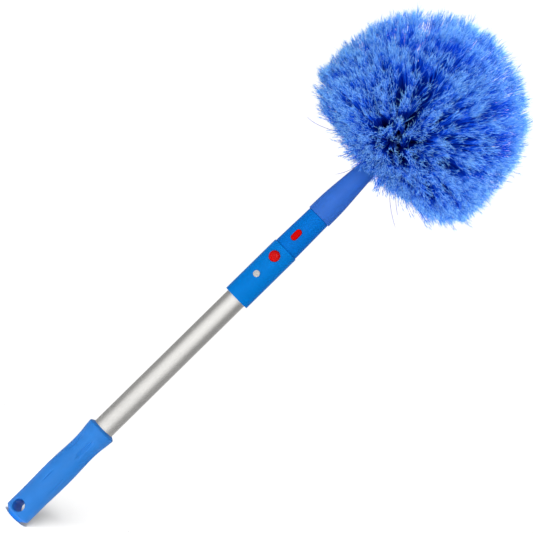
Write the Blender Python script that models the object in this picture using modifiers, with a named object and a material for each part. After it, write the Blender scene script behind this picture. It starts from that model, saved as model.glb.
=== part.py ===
"""Telescopic dome duster: a brush of synthetic tufts on a push-button aluminium pole.

The pole stands on its butt along +Z, with the brush at the top. The origin is the centre of the flat on the
butt. The push button, the rivet, the snap button and the hang hole's near mouth all face -Y.
Dimensions are in millimetres, and MM turns them into Blender's metres.
"""

import math

import bmesh
import bpy

MM = 0.001
OUTWARDS = math.pi / 2       # a turn about X that points an object's own +Z at -Y
GAP = 0.3                    # clearance between pieces that touch
EDGE = 0.4                   # softening of a moulded edge
LEAD_IN = 0.8                # chamfer of a spigot's end
BORE_STEPS = 32              # sides of a cross hole
ROUND_STEPS = 36             # sides of a pole-sized turned piece
SMALL_STEPS = 24             # sides of a button-sized turned piece
HEAD_STEPS = 32              # sides of the hub and of a ring of tufts
MERGE_M = 0.00001            # merge distance for a turned piece's seam and poles

# Grip: a moulded sleeve over the tube, closed by a domed plug
GRIP_BOTTOM = 3.9
GRIP_TOP = 137.0
GRIP_END_RADIUS = 15.5
GRIP_RIM_RADIUS = 17.1
GRIP_RIM_ROUND = 2.0
GRIP_RIM_Z = 133.6
GRIP_CORNER_ROUND = 1.8
GRIP_CORNER_Z = 7.2
GRIP_WAIST = (               # (radius, z) down the hand-shaped side, below the rim
    (16.3, 125.0), (15.2, 116.0), (14.8, 103.0), (15.75, 81.0), (16.15, 64.0), (15.5, 36.0),
)
PLUG_FLAT_RADIUS = 5.0
PLUG_DOME_RADIUS = 7.6
PLUG_SHOULDER_Z = 25.7
PLUG_TOP = 46.0
PLUG_FLOOR_THICKNESS = 1.2
PLUG_SPIGOT_WALL = 2.5
HANG_HOLE_Z = 14.8
HANG_HOLE_AZIMUTH = math.radians(-9.5)       # about the pole, from the front, -Y, towards +X
HANG_HOLE_RADIUS = 7.0

# Telescopic tubes
OUTER_TUBE_RADIUS = 12.5
OUTER_TUBE_WALL = 1.2
OUTER_TUBE_BOTTOM = 26.0
OUTER_TUBE_TOP = 388.0
INNER_TUBE_RADIUS = 10.5
INNER_TUBE_WALL = 1.0
INNER_TUBE_BOTTOM = 60.0
INNER_TUBE_TOP = 447.5
LOCK_HOLE_PITCH = 70.0
LOCK_HOLE_COUNT = 5
LOCK_HOLE_RADIUS = 2.8
FOOT_FLANGE = 3.0            # straight height of the glide's flange, above its chamfer
FOOT_CHAMFER = 1.5
FOOT_SPIGOT = 12.0

# Collar with the push-button lock
COLLAR_RADIUS = 15.75
COLLAR_BOTTOM = 339.5
COLLAR_TOP = 414.7
CHAMBER_RADIUS = 14.7
CHAMBER_FLOOR = 389.5
SHELF_THICKNESS = 1.2
SHELF_BORE_RADIUS = 11.0
CAP_RING_THICKNESS = 3.5
CAP_RING_RECESS = 0.2
BUSH_RADIUS = 12.0
LOCK_Z = 401.0
LOCK_TRAVEL = 1.4
BUTTON_RADIUS = 6.25
BUTTON_TOP = 18.0            # heights of radial pieces are measured from the pole's axis
BUTTON_RIM = 16.4
BUTTON_CLEARANCE = 0.35
STIRRUP_WALL = 0.8
STIRRUP_HEIGHT = 7.0
PIN_RADIUS = 2.5
PIN_TAIL_RADIUS = 1.5
PIN_HOLE_CLEARANCE = 0.4
LOCK_SPRING_LENGTH = 10.0
LOCK_SPRING_BOW = 0.6
LOCK_SPRING_WIDTH = 5.0
LOCK_SPRING_THICKNESS = 0.3
RIVET_Z = 374.0
RIVET_HEAD_RADIUS = 3.75
RIVET_SHANK_RADIUS = 2.0
RIVET_TOP = 16.5
RIVET_UNDERSIDE = 15.3
RIVET_SEAT = 15.0
RIVET_TIP = 11.6

# Cone adapter with the snap button
ADAPTER_BOTTOM = 415.0
ADAPTER_SHOULDER = 465.3
ADAPTER_TOP = 510.0
ADAPTER_LOWER_RADIUS = 14.65
ADAPTER_UPPER_RADIUS = 13.7
ADAPTER_STOP = 1.5           # width of the inner shoulder that the tube's end meets
CONE_WALL = 3.0
SOCKET_MOUTH_RADIUS = 13.0   # the ferrule's bore at its mouth
SOCKET_TAPER = 0.064         # loss of radius per mm of height, on the male cone and in the ferrule
LATCH_Z = 434.0
LATCH_LENGTH = 14.0
LATCH_WIDTH = 7.0
LATCH_TOP = 15.1
LATCH_FLOOR = 7.05
LATCH_FLANGE = 1.0           # the flange's thickness, and how far it stands out all round
LATCH_CORNER_ROUND = 0.7
SLOT_CLEARANCE = 0.7
CLIP_BACK = 8.3              # y of the clip's leg that lies on the tube's back wall
CLIP_FRONT = -6.35           # y of the leg behind the button
CLIP_BEND_RADIUS = 5.0
CLIP_BEND_Z = 412.0
CLIP_KNEE_Z = 428.0          # where the front leg comes level with the button's back
CLIP_WIDTH = 6.0
CLIP_THICKNESS = 0.5

# Brush
FERRULE_BOTTOM = 465.6
FERRULE_TOP = 560.0
FERRULE_SIDE = (             # (radius, z) up the outside
    (14.95, 465.6), (14.8, 480.0), (14.2, 494.0), (11.7, 525.0), (9.3, 560.0),
)
FERRULE_WEB_Z = 522.5
WASHER_RADIUS = 6.5
WASHER_THICKNESS = 1.0
SCREW_HEAD_RADIUS = 4.2
SCREW_HEAD_HEIGHT = 2.6
SCREW_HEAD_CHAMFER = 1.2
SCREW_SHANK_RADIUS = 2.0
SCREW_POINT = 4.0            # length of the screw's point
SCREW_TIP_Z = 579.0
HUB_Z = 582.0
HUB_RADIUS = 24.0
HEAD_RADIUS = 120.5
DOME_CENTRE_Z = 623.0
BACK_PROFILE = (             # (radius, z) of the trimmed back, from the side in to the ferrule
    (119.0, 577.0), (104.0, 559.5), (88.0, 549.0), (64.0, 542.0), (40.0, 538.0), (14.0, 534.5),
)
ROW_COUNT = 7
ROW_PITCH = math.radians(22.5)
ROW_HALF_SPREAD = math.radians(10.8)
ROW_WEB = 0.6                # half the thickness of a row of tufts between its root and its spread tips
ROW_SPREAD_START = 0.93      # share of a tuft's length at which its tips begin to spread
CROWN_STEM = 3.0             # radius of the tufts on the axis, below their spread tips

RED = (0.62, 0.0, 0.01)
COLLAR_BLUE = (0.0, 0.20, 0.72)
GRIP_BLUE = (0.012, 0.21, 0.71)
FERRULE_BLUE = (0.045, 0.16, 0.68)
TUFT_BLUE = (0.02, 0.09, 0.62)
ALUMINIUM = (0.72, 0.71, 0.69)
STEEL = (0.55, 0.55, 0.56)
WHITE = (0.78, 0.76, 0.73)
ACETAL = (0.82, 0.82, 0.80)

CUTTER_REACH = 30.0          # a radial cutter runs in from this height
WALL_FLOOR = 6.0             # and stops at this one when it goes through one side of a tube


def clear_scene():
    for ob in list(bpy.data.objects):
        bpy.data.objects.remove(ob)


def new_collection(name):
    collection = bpy.data.collections.new(name)
    bpy.context.scene.collection.children.link(collection)
    return collection


def new_material(name, colour, roughness, metallic=0.0):
    material = bpy.data.materials.new(name)
    material.use_nodes = True
    shader = material.node_tree.nodes["Principled BSDF"]
    shader.inputs["Base Color"].default_value = (*colour, 1.0)
    shader.inputs["Roughness"].default_value = roughness
    shader.inputs["Metallic"].default_value = metallic
    return material


def new_empty(name, z, parent=None):
    empty = bpy.data.objects.new(name, None)
    PARTS.objects.link(empty)
    attach(empty, z, parent)
    return empty


def attach(ob, z, parent, turn_x=0.0):
    """Put an object's origin at height z on the pole's axis, under a parent that is also on the axis."""
    below = parent.matrix_world.translation.z if parent else 0.0
    ob.parent = parent
    ob.location = (0.0, 0.0, z * MM - below)
    ob.rotation_euler = (turn_x, 0.0, 0.0)
    bpy.context.view_layer.update()


def arc(centre, radius, start_deg, end_deg, steps):
    """Points along an arc in the (radius, z) plane; 0 degrees points outwards and 90 points up."""
    points = []
    for step in range(steps + 1):
        angle = math.radians(start_deg + (end_deg - start_deg) * step / steps)
        points.append((centre[0] + radius * math.cos(angle), centre[1] + radius * math.sin(angle)))
    return points


def spline_value(before, start, end, after, t):
    """The Catmull-Rom value a share t of the way from start to end."""
    first = end - before
    second = 2 * before - 5 * start + 4 * end - after
    third = 3 * start - before - 3 * end + after
    return start + 0.5 * (first * t + second * t**2 + third * t**3)


def smooth_run(stations, per_span=2):
    """A Catmull-Rom curve through the stations, per_span segments between neighbours."""
    ends = [stations[0], *stations, stations[-1]]
    points = []
    for before, start, end, after in zip(ends, ends[1:], ends[2:], ends[3:]):
        for step in range(per_span):
            t = step / per_span
            points.append(tuple(spline_value(*values, t) for values in zip(before, start, end, after)))
    return [*points, stations[-1]]


def turned(name, outline, material, parent, z, steps=ROUND_STEPS, solid=False, turn_x=0.0):
    """Revolve a (radius, height) outline. A hollow piece closes its outline; a solid one ends on the axis."""
    mesh = bpy.data.meshes.new(name)
    below = 0.0 if turn_x else z
    points = [(radius * MM, 0.0, (height - below) * MM) for radius, height in outline]
    edges = [(i, i + 1) for i in range(len(points) - 1)]
    if not solid:
        edges.append((len(points) - 1, 0))
    mesh.from_pydata(points, edges, [])
    ob = bpy.data.objects.new(name, mesh)
    PARTS.objects.link(ob)
    mesh.materials.append(material)
    screw = ob.modifiers.new("Turn", "SCREW")
    screw.steps = steps
    screw.render_steps = steps
    screw.use_merge_vertices = True
    screw.merge_threshold = MERGE_M
    screw.use_smooth_shade = True
    attach(ob, z, parent, turn_x)
    return ob


def make_cutter(ob):
    ob.hide_render = True
    ob.display_type = "WIRE"
    return ob


def cross_cutter(name, radius, z, low, high, steps=BORE_STEPS):
    """A cylinder along -Y from the height low to the height high above the pole's axis."""
    mesh = bpy.data.meshes.new(name)
    shape = bmesh.new()
    bmesh.ops.create_cone(shape, cap_ends=True, segments=steps, radius1=radius * MM, radius2=radius * MM,
                          depth=(high - low) * MM)
    bmesh.ops.translate(shape, verts=shape.verts, vec=(0.0, 0.0, (high + low) / 2 * MM))
    shape.to_mesh(mesh)
    shape.free()
    ob = bpy.data.objects.new(name, mesh)
    CUTTERS.objects.link(ob)
    attach(ob, z, None, OUTWARDS)
    return make_cutter(ob)


def flat_outline(name, loops, low, high, collection, edge_round=0.0):
    """A flat outline of closed loops, thickened from low to high along its own Z, as a welded mesh object."""
    curve = bpy.data.curves.new(name, "CURVE")
    curve.dimensions = "2D"
    curve.fill_mode = "BOTH"
    curve.extrude = (high - low) / 2 * MM - edge_round * MM
    curve.bevel_depth = edge_round * MM
    curve.bevel_resolution = 2
    curve.offset = -edge_round * MM
    for loop in loops:
        spline = curve.splines.new("POLY")
        spline.points.add(len(loop) - 1)
        for point, (x, y) in zip(spline.points, loop):
            point.co = (x * MM, y * MM, 0.0, 1.0)
        spline.use_cyclic_u = True
    outline = bpy.data.objects.new(name + "_outline", curve)
    collection.objects.link(outline)
    bpy.context.view_layer.update()
    mesh = bpy.data.meshes.new_from_object(outline.evaluated_get(bpy.context.evaluated_depsgraph_get()))
    shape = bmesh.new()
    shape.from_mesh(mesh)
    bmesh.ops.remove_doubles(shape, verts=shape.verts, dist=MERGE_M)
    bmesh.ops.translate(shape, verts=shape.verts, vec=(0.0, 0.0, (high + low) / 2 * MM))
    bmesh.ops.recalc_face_normals(shape, faces=shape.faces)
    shape.to_mesh(mesh)
    shape.free()
    ob = bpy.data.objects.new(name, mesh)
    ob.matrix_world = outline.matrix_world
    collection.objects.link(ob)
    bpy.data.objects.remove(outline)
    return ob


def stadium(length, width, steps=10):
    """A slot outline with round ends, its long side along Y."""
    half = (length - width) / 2
    return [*arc((0.0, half), width / 2, 0, 180, steps), *arc((0.0, -half), width / 2, 180, 360, steps)]


def snap_slot_cutter(name, clearance):
    """The oblong slot of the snap button, wider than the button by a clearance."""
    outline = stadium(LATCH_LENGTH + clearance, LATCH_WIDTH + clearance)
    ob = flat_outline(name, [outline], WALL_FLOOR, CUTTER_REACH, CUTTERS)
    attach(ob, LATCH_Z, None, OUTWARDS)
    return make_cutter(ob)


def cut(ob, cutter):
    boolean = ob.modifiers.new("Cut " + cutter.name, "BOOLEAN")
    boolean.operation = "DIFFERENCE"
    boolean.solver = "EXACT"
    boolean.object = cutter


def leaf_spring(name, path, width, thickness, material, parent, z):
    """A strip of spring steel: a (y, z) path given a width along X and a thickness."""
    mesh = bpy.data.meshes.new(name)
    shape = bmesh.new()
    rows = [[shape.verts.new((side * width / 2 * MM, y * MM, (height - z) * MM)) for side in (-1, 1)]
            for y, height in path]
    for (left, right), (next_left, next_right) in zip(rows, rows[1:]):
        shape.faces.new((left, right, next_right, next_left))
    shape.to_mesh(mesh)
    shape.free()
    mesh.materials.append(material)
    ob = bpy.data.objects.new(name, mesh)
    PARTS.objects.link(ob)
    solidify = ob.modifiers.new("Strip", "SOLIDIFY")
    solidify.thickness = thickness * MM
    solidify.offset = 0.0
    attach(ob, z, parent)
    return ob


def hang_hole_cutter(name, radius):
    cutter = cross_cutter(name, radius, HANG_HOLE_Z, -CUTTER_REACH, CUTTER_REACH)
    cutter.rotation_euler.z = HANG_HOLE_AZIMUTH
    bpy.context.view_layer.update()
    return cutter


def grip_sleeve(handle):
    bore = OUTER_TUBE_RADIUS + GAP
    rim_centre = (GRIP_RIM_RADIUS - GRIP_RIM_ROUND, GRIP_RIM_Z)
    corner_centre = (GRIP_END_RADIUS - GRIP_CORNER_ROUND, GRIP_CORNER_Z)
    rim = arc(rim_centre, GRIP_RIM_ROUND, 65, 0, 4)
    corner = arc(corner_centre, GRIP_CORNER_ROUND, 0, -70, 3)
    side = smooth_run([rim[-1], *GRIP_WAIST])
    outline = [(bore, GRIP_TOP), *rim[:-1], *side, *corner, (bore, GRIP_BOTTOM)]
    sleeve = turned("grip_sleeve", outline, new_material("soft grip", GRIP_BLUE, 0.45), handle, 0.0)
    cut(sleeve, hang_hole_cutter("hang_hole_in_sleeve", HANG_HOLE_RADIUS + GAP))


def grip_end_plug(handle):
    """A cup that fills the butt: its dome stands out below the sleeve and its spigot goes into the tube."""
    spigot = OUTER_TUBE_RADIUS - OUTER_TUBE_WALL - GAP
    cup_radius = spigot - PLUG_SPIGOT_WALL
    cup_floor = PLUG_SHOULDER_Z - PLUG_FLOOR_THICKNESS
    dome = arc((PLUG_FLAT_RADIUS, PLUG_DOME_RADIUS), PLUG_DOME_RADIUS, -38, -90, 5)
    outline = [
        (0.0, cup_floor), (cup_radius, cup_floor), (cup_radius, PLUG_TOP), (spigot - LEAD_IN, PLUG_TOP),
        (spigot, PLUG_TOP - LEAD_IN), (spigot, PLUG_SHOULDER_Z), (OUTER_TUBE_RADIUS, PLUG_SHOULDER_Z),
        (OUTER_TUBE_RADIUS, GRIP_BOTTOM + 0.5), *dome, (0.0, 0.0),
    ]
    plug = turned("grip_end_plug", outline, new_material("end plug", GRIP_BLUE, 0.4), handle, 0.0, solid=True)
    cut(plug, hang_hole_cutter("hang_hole_in_plug", HANG_HOLE_RADIUS))


def tube_outline(radius, wall, bottom, top):
    return [(radius - wall, top), (radius, top), (radius, bottom), (radius - wall, bottom)]


def rivet_cutter(name, radius, floor):
    return cross_cutter(name, radius, RIVET_Z, floor, CUTTER_REACH, SMALL_STEPS)


def outer_tube(handle):
    outline = tube_outline(OUTER_TUBE_RADIUS, OUTER_TUBE_WALL, OUTER_TUBE_BOTTOM, OUTER_TUBE_TOP)
    tube = turned("outer_tube", outline, new_material("outer aluminium", ALUMINIUM, 0.35, 1.0), handle, 0.0)
    cut(tube, rivet_cutter("rivet_hole_in_tube", RIVET_SHANK_RADIUS + GAP, WALL_FLOOR))


def lock_collar(handle):
    """The collar grips the tube below a shelf and holds the lock chamber above it, open at the top."""
    socket = OUTER_TUBE_RADIUS + GAP
    shelf_underside = CHAMBER_FLOOR - SHELF_THICKNESS
    edge = arc((COLLAR_RADIUS - EDGE, COLLAR_TOP - EDGE), EDGE, 90, 0, 2)
    outline = [
        (CHAMBER_RADIUS, COLLAR_TOP), *edge, (COLLAR_RADIUS, COLLAR_BOTTOM + EDGE),
        (COLLAR_RADIUS - EDGE, COLLAR_BOTTOM),
        (socket, COLLAR_BOTTOM), (socket, shelf_underside), (SHELF_BORE_RADIUS, shelf_underside),
        (SHELF_BORE_RADIUS, CHAMBER_FLOOR), (CHAMBER_RADIUS, CHAMBER_FLOOR),
    ]
    collar = turned("lock_collar", outline, new_material("collar plastic", COLLAR_BLUE, 0.35), handle, 0.0)
    button_hole = BUTTON_RADIUS + BUTTON_CLEARANCE
    cut(collar, cross_cutter("button_hole", button_hole, LOCK_Z, WALL_FLOOR, CUTTER_REACH))
    cut(collar, rivet_cutter("rivet_hole_in_collar", RIVET_SHANK_RADIUS + GAP, WALL_FLOOR))
    cut(collar, rivet_cutter("rivet_seat", RIVET_HEAD_RADIUS + GAP, RIVET_SEAT))


def collar_cap_ring(handle):
    """The ring that closes the chamber and wipes the inner tube."""
    bore = INNER_TUBE_RADIUS + GAP
    radius = CHAMBER_RADIUS - GAP
    top = COLLAR_TOP - CAP_RING_RECESS
    outline = [(bore, top), (radius - EDGE, top), (radius, top - EDGE), (radius, top - CAP_RING_THICKNESS),
               (bore, top - CAP_RING_THICKNESS)]
    turned("collar_cap_ring", outline, new_material("cap ring plastic", COLLAR_BLUE, 0.4), handle, 0.0)


def far_cutter(name, radius, z):
    """A cutter through the pole's far side only, opposite the buttons."""
    return cross_cutter(name, radius, z, -CUTTER_REACH, -WALL_FLOOR, SMALL_STEPS)


def guide_bush(handle):
    bottom = CHAMBER_FLOOR + GAP
    top = COLLAR_TOP - CAP_RING_RECESS - CAP_RING_THICKNESS - GAP
    bore = INNER_TUBE_RADIUS + GAP
    outline = tube_outline(BUSH_RADIUS, BUSH_RADIUS - bore, bottom, top)
    bush = turned("guide_bush", outline, new_material("acetal bush", ACETAL, 0.4), handle, 0.0)
    cut(bush, far_cutter("pin_window", PIN_RADIUS + PIN_HOLE_CLEARANCE, LOCK_Z))


def collar_rivet(handle):
    """A push rivet through the collar and the tube wall, with a dimple in its round head."""
    rim = RIVET_UNDERSIDE + 0.5
    head = [(RIVET_HEAD_RADIUS * math.sin(angle), rim + (RIVET_TOP - rim) * math.cos(angle))
            for angle in map(math.radians, (30, 50, 70, 90))]
    dimple = [(0.0, RIVET_TOP - 0.3), (0.7, RIVET_TOP - 0.3), (1.0, RIVET_TOP - 0.05)]
    shank = [(RIVET_SHANK_RADIUS, RIVET_UNDERSIDE), (RIVET_SHANK_RADIUS, RIVET_TIP), (0.0, RIVET_TIP)]
    outline = [*dimple, *head, (RIVET_HEAD_RADIUS, RIVET_UNDERSIDE), *shank]
    turned("collar_rivet", outline, new_material("rivet plastic", WHITE, 0.35), handle, RIVET_Z, SMALL_STEPS,
           solid=True, turn_x=OUTWARDS)


def lock_button_cap(lock):
    """The red cap: a short round key with a domed end."""
    underside = CHAMBER_RADIUS + 0.05
    dome = [(BUTTON_RADIUS * math.sin(angle), BUTTON_RIM + (BUTTON_TOP - BUTTON_RIM) * math.cos(angle))
            for angle in map(math.radians, range(0, 91, 15))]
    outline = [*dome, (BUTTON_RADIUS, underside), (0.0, underside)]
    turned("lock_button_cap", outline, new_material("red key plastic", RED, 0.25), lock, LOCK_Z, SMALL_STEPS,
           solid=True, turn_x=OUTWARDS)


def lock_stirrup(lock):
    """A strip bent round the guide bush; its near side is a travel and a clearance away from the bush."""
    inner = BUSH_RADIUS + GAP
    outer = inner + STIRRUP_WALL
    near = -(LOCK_TRAVEL - 0.1)
    loops = [[*arc((0.0, 0.0), radius, 0, 180, 18), *arc((0.0, near), radius, 180, 360, 18)]
             for radius in (outer, inner)]
    stirrup = flat_outline("lock_stirrup", loops, -STIRRUP_HEIGHT / 2, STIRRUP_HEIGHT / 2, PARTS)
    stirrup.data.materials.append(new_material("stirrup steel", STEEL, 0.35, 1.0))
    attach(stirrup, LOCK_Z, lock)
    cut(stirrup, far_cutter("pin_tail_hole", PIN_TAIL_RADIUS + GAP, LOCK_Z))


def lock_pin(lock):
    """The pin on the stirrup's far side: its tip stands a clearance off the inner tube, facing a hole."""
    tip = INNER_TUBE_RADIUS + GAP
    shoulder = BUSH_RADIUS
    tail = BUSH_RADIUS + GAP + STIRRUP_WALL - 0.1
    outline = [(0.0, tail), (PIN_TAIL_RADIUS, tail), (PIN_TAIL_RADIUS, shoulder), (PIN_RADIUS, shoulder),
               (PIN_RADIUS, tip + 0.3), (PIN_RADIUS - 0.3, tip), (0.0, tip)]
    turned("lock_pin", outline, new_material("pin steel", STEEL, 0.3, 1.0), lock, LOCK_Z, SMALL_STEPS,
           solid=True, turn_x=-OUTWARDS)


def lock_spring(handle):
    """A bowed leaf: its ends bear on the guide bush and its middle on the stirrup."""
    seat = BUSH_RADIUS + GAP + 0.05
    steps = 8
    path = []
    for step in range(steps + 1):
        share = step / steps
        bow = LOCK_SPRING_BOW * math.sin(math.pi * share)
        path.append((-(seat + bow), LOCK_Z + LOCK_SPRING_LENGTH * (share - 0.5)))
    material = new_material("spring steel", STEEL, 0.3, 1.0)
    leaf_spring("lock_spring", path, LOCK_SPRING_WIDTH, LOCK_SPRING_THICKNESS, material, handle, LOCK_Z)


def inner_tube(inner_pole):
    outline = tube_outline(INNER_TUBE_RADIUS, INNER_TUBE_WALL, INNER_TUBE_BOTTOM, INNER_TUBE_TOP)
    material = new_material("inner aluminium", ALUMINIUM, 0.3, 1.0)
    tube = turned("inner_tube", outline, material, inner_pole, COLLAR_TOP)
    for number in range(LOCK_HOLE_COUNT):
        cut(tube, far_cutter(f"lock_hole_{number + 1}", LOCK_HOLE_RADIUS, LOCK_Z - LOCK_HOLE_PITCH * number))
    cut(tube, snap_slot_cutter("snap_slot_in_tube", SLOT_CLEARANCE))


def inner_tube_foot(inner_pole):
    """A glide plug: a flange that runs in the outer tube, and a spigot in the inner one."""
    flange = OUTER_TUBE_RADIUS - OUTER_TUBE_WALL - GAP
    spigot = INNER_TUBE_RADIUS - INNER_TUBE_WALL - GAP
    flange_top = INNER_TUBE_BOTTOM - GAP
    flange_bottom = flange_top - FOOT_FLANGE
    spigot_top = flange_top + FOOT_SPIGOT
    foot_bottom = flange_bottom - FOOT_CHAMFER
    outline = [(0.0, spigot_top), (spigot - LEAD_IN, spigot_top), (spigot, spigot_top - LEAD_IN),
               (spigot, flange_top), (flange, flange_top), (flange, flange_bottom),
               (flange - 1.0, foot_bottom), (0.0, foot_bottom)]
    material = new_material("glide plastic", ACETAL, 0.4)
    turned("inner_tube_foot", outline, material, inner_pole, COLLAR_TOP, solid=True)


def cone_radius(z):
    """The male cone's radius at height z; the ferrule's bore is a clearance wider."""
    return SOCKET_MOUTH_RADIUS - GAP - SOCKET_TAPER * (z - FERRULE_BOTTOM)


def cone_adapter(inner_pole):
    bore = INNER_TUBE_RADIUS + GAP
    tube_stop = INNER_TUBE_TOP + 0.5
    outline = [
        (cone_radius(ADAPTER_TOP) - CONE_WALL, ADAPTER_TOP),
        (cone_radius(ADAPTER_TOP) - LEAD_IN, ADAPTER_TOP),
        (cone_radius(ADAPTER_TOP - LEAD_IN), ADAPTER_TOP - LEAD_IN),
        (cone_radius(ADAPTER_SHOULDER), ADAPTER_SHOULDER),
        (ADAPTER_UPPER_RADIUS - EDGE, ADAPTER_SHOULDER), (ADAPTER_UPPER_RADIUS, ADAPTER_SHOULDER - EDGE),
        (ADAPTER_LOWER_RADIUS, ADAPTER_BOTTOM + EDGE), (ADAPTER_LOWER_RADIUS - EDGE, ADAPTER_BOTTOM),
        (bore, ADAPTER_BOTTOM), (bore, tube_stop), (bore - ADAPTER_STOP, tube_stop),
    ]
    material = new_material("adapter plastic", COLLAR_BLUE, 0.4)
    adapter = turned("cone_adapter", outline, material, inner_pole, COLLAR_TOP)
    cut(adapter, snap_slot_cutter("snap_slot_in_adapter", SLOT_CLEARANCE + 0.1))


def latch_button(latch):
    """The oblong snap button, with a flange inside the tube that keeps it from falling out."""
    flange_outline = stadium(LATCH_LENGTH + 2 * LATCH_FLANGE, LATCH_WIDTH + 2 * LATCH_FLANGE)
    flange = flat_outline("latch_flange", [flange_outline], LATCH_FLOOR, LATCH_FLOOR + LATCH_FLANGE, CUTTERS)
    attach(flange, LATCH_Z, None, OUTWARDS)
    make_cutter(flange)
    key_outline = stadium(LATCH_LENGTH, LATCH_WIDTH)
    key_bottom = LATCH_FLOOR + LATCH_FLANGE - 0.6
    button = flat_outline("latch_button", [key_outline], key_bottom, LATCH_TOP, PARTS, LATCH_CORNER_ROUND)
    button.data.materials.append(new_material("red snap plastic", RED, 0.3))
    attach(button, LATCH_Z, latch, OUTWARDS)
    union = button.modifiers.new("Flange", "BOOLEAN")
    union.operation = "UNION"
    union.solver = "EXACT"
    union.object = flange


def latch_spring_clip(inner_pole):
    """A strip bent into a U in the inner tube: one leg lies on its back wall, the other behind the button."""
    bend = arc((CLIP_BACK - CLIP_BEND_RADIUS, CLIP_BEND_Z), CLIP_BEND_RADIUS, 0, -180, 8)
    top = LATCH_Z + LATCH_LENGTH / 2
    path = [(CLIP_BACK, top), *bend, (CLIP_FRONT, CLIP_KNEE_Z), (CLIP_FRONT, top)]
    material = new_material("clip steel", STEEL, 0.3, 1.0)
    leaf_spring("latch_spring_clip", path, CLIP_WIDTH, CLIP_THICKNESS, material, inner_pole, COLLAR_TOP)


def ferrule(head):
    """The brush's conical socket, with a solid neck that the hub's screw goes through."""
    socket_top = SOCKET_MOUTH_RADIUS - SOCKET_TAPER * (FERRULE_WEB_Z - FERRULE_BOTTOM)
    screw_bore = SCREW_SHANK_RADIUS + GAP
    side = smooth_run(FERRULE_SIDE)
    side.reverse()
    outline = [(screw_bore, FERRULE_TOP), *side, (SOCKET_MOUTH_RADIUS, FERRULE_BOTTOM),
               (socket_top, FERRULE_WEB_Z), (screw_bore, FERRULE_WEB_Z)]
    turned("ferrule", outline, new_material("ferrule plastic", FERRULE_BLUE, 0.5), head, FERRULE_BOTTOM)


def hub_washer(head):
    top = FERRULE_WEB_Z - GAP
    ring_width = WASHER_RADIUS - SCREW_SHANK_RADIUS - 0.4
    outline = tube_outline(WASHER_RADIUS, ring_width, top - WASHER_THICKNESS, top)
    material = new_material("washer steel", STEEL, 0.35, 1.0)
    turned("hub_washer", outline, material, head, FERRULE_BOTTOM, SMALL_STEPS)


def hub_screw(head):
    """A pan-head screw, head down in the ferrule's socket."""
    under_head = FERRULE_WEB_Z - GAP - WASHER_THICKNESS - GAP
    head_low = under_head - SCREW_HEAD_HEIGHT
    outline = [(0.0, SCREW_TIP_Z), (SCREW_SHANK_RADIUS, SCREW_TIP_Z - SCREW_POINT),
               (SCREW_SHANK_RADIUS, under_head), (SCREW_HEAD_RADIUS, under_head),
               (SCREW_HEAD_RADIUS, head_low + SCREW_HEAD_CHAMFER),
               (SCREW_HEAD_RADIUS - SCREW_HEAD_CHAMFER, head_low), (0.0, head_low)]
    material = new_material("screw steel", STEEL, 0.3, 1.0)
    turned("hub_screw", outline, material, head, FERRULE_BOTTOM, SMALL_STEPS, solid=True)


def bristle_hub(head):
    """The ball that the tufts are set in, flat where it sits on the ferrule, with a blind pilot hole."""
    base = FERRULE_TOP + GAP
    base_angle = math.degrees(math.asin((base - HUB_Z) / HUB_RADIUS))
    pilot = SCREW_SHANK_RADIUS + GAP
    ball = arc((0.0, HUB_Z), HUB_RADIUS, 90, base_angle, 9)
    outline = [(0.0, HUB_Z + HUB_RADIUS), *ball[1:], (pilot, base), (pilot, HUB_Z), (0.0, HUB_Z)]
    material = new_material("hub plastic", TUFT_BLUE, 0.5)
    turned("bristle_hub", outline, material, head, HUB_Z, HEAD_STEPS, solid=True)


def trim_distance(angle):
    """How far the tips reach from the hub's centre, along a ray at this angle from +Z.

    The brush is trimmed to a dome in front, a cylinder at the side and a shallow bowl at the back.
    """
    rise = DOME_CENTRE_Z - HUB_Z
    if angle < math.atan2(HEAD_RADIUS, rise):
        return rise * math.cos(angle) + math.sqrt(HEAD_RADIUS**2 - (rise * math.sin(angle)) ** 2)
    back = [(math.atan2(radius, z - HUB_Z), math.hypot(radius, z - HUB_Z)) for radius, z in BACK_PROFILE]
    if angle < back[0][0]:
        return HEAD_RADIUS / math.sin(angle)
    for (low, near), (high, far) in zip(back, back[1:]):
        if angle <= high:
            return near + (far - near) * (angle - low) / (high - low)
    return back[-1][1]


def on_ray(angle, distance):
    return (distance * math.sin(angle), HUB_Z + distance * math.cos(angle))


def row_tips(low, high, steps=4):
    angles = [low + (high - low) * step / steps for step in range(steps + 1)]
    return [on_ray(angle, trim_distance(angle)) for angle in angles]


def crown_tufts(head, material):
    """The tufts on the axis: a stem from the hub's top that spreads into a cap at the tips."""
    root = HUB_Z + HUB_RADIUS + GAP
    spread_z = HUB_Z + ROW_SPREAD_START * trim_distance(0.0)
    outline = [*row_tips(0.0, ROW_HALF_SPREAD), (CROWN_STEM, spread_z), (CROWN_STEM, root), (0.0, root)]
    turned("tufts_crown", outline, material, head, HUB_Z, HEAD_STEPS, solid=True)


def tuft_row(number, head, material):
    """One ring of tufts: a thin conical web from the hub that spreads at the tips to meet its neighbours."""
    middle = number * ROW_PITCH
    low, high = middle - ROW_HALF_SPREAD, middle + ROW_HALF_SPREAD
    reach = ROW_SPREAD_START * trim_distance(middle)
    root = HUB_RADIUS + GAP + 0.1
    web = [on_ray(middle + side * ROW_WEB / distance, distance)
           for side, distance in ((1, reach), (1, root), (-1, root), (-1, reach))]
    turned(f"tufts_row_{number}", [*row_tips(low, high), *web], material, head, HUB_Z, HEAD_STEPS)


def build_handle():
    handle = new_empty("handle", 0.0)
    grip_sleeve(handle)
    grip_end_plug(handle)
    outer_tube(handle)
    lock_collar(handle)
    collar_cap_ring(handle)
    guide_bush(handle)
    collar_rivet(handle)
    lock_spring(handle)
    return handle


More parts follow.
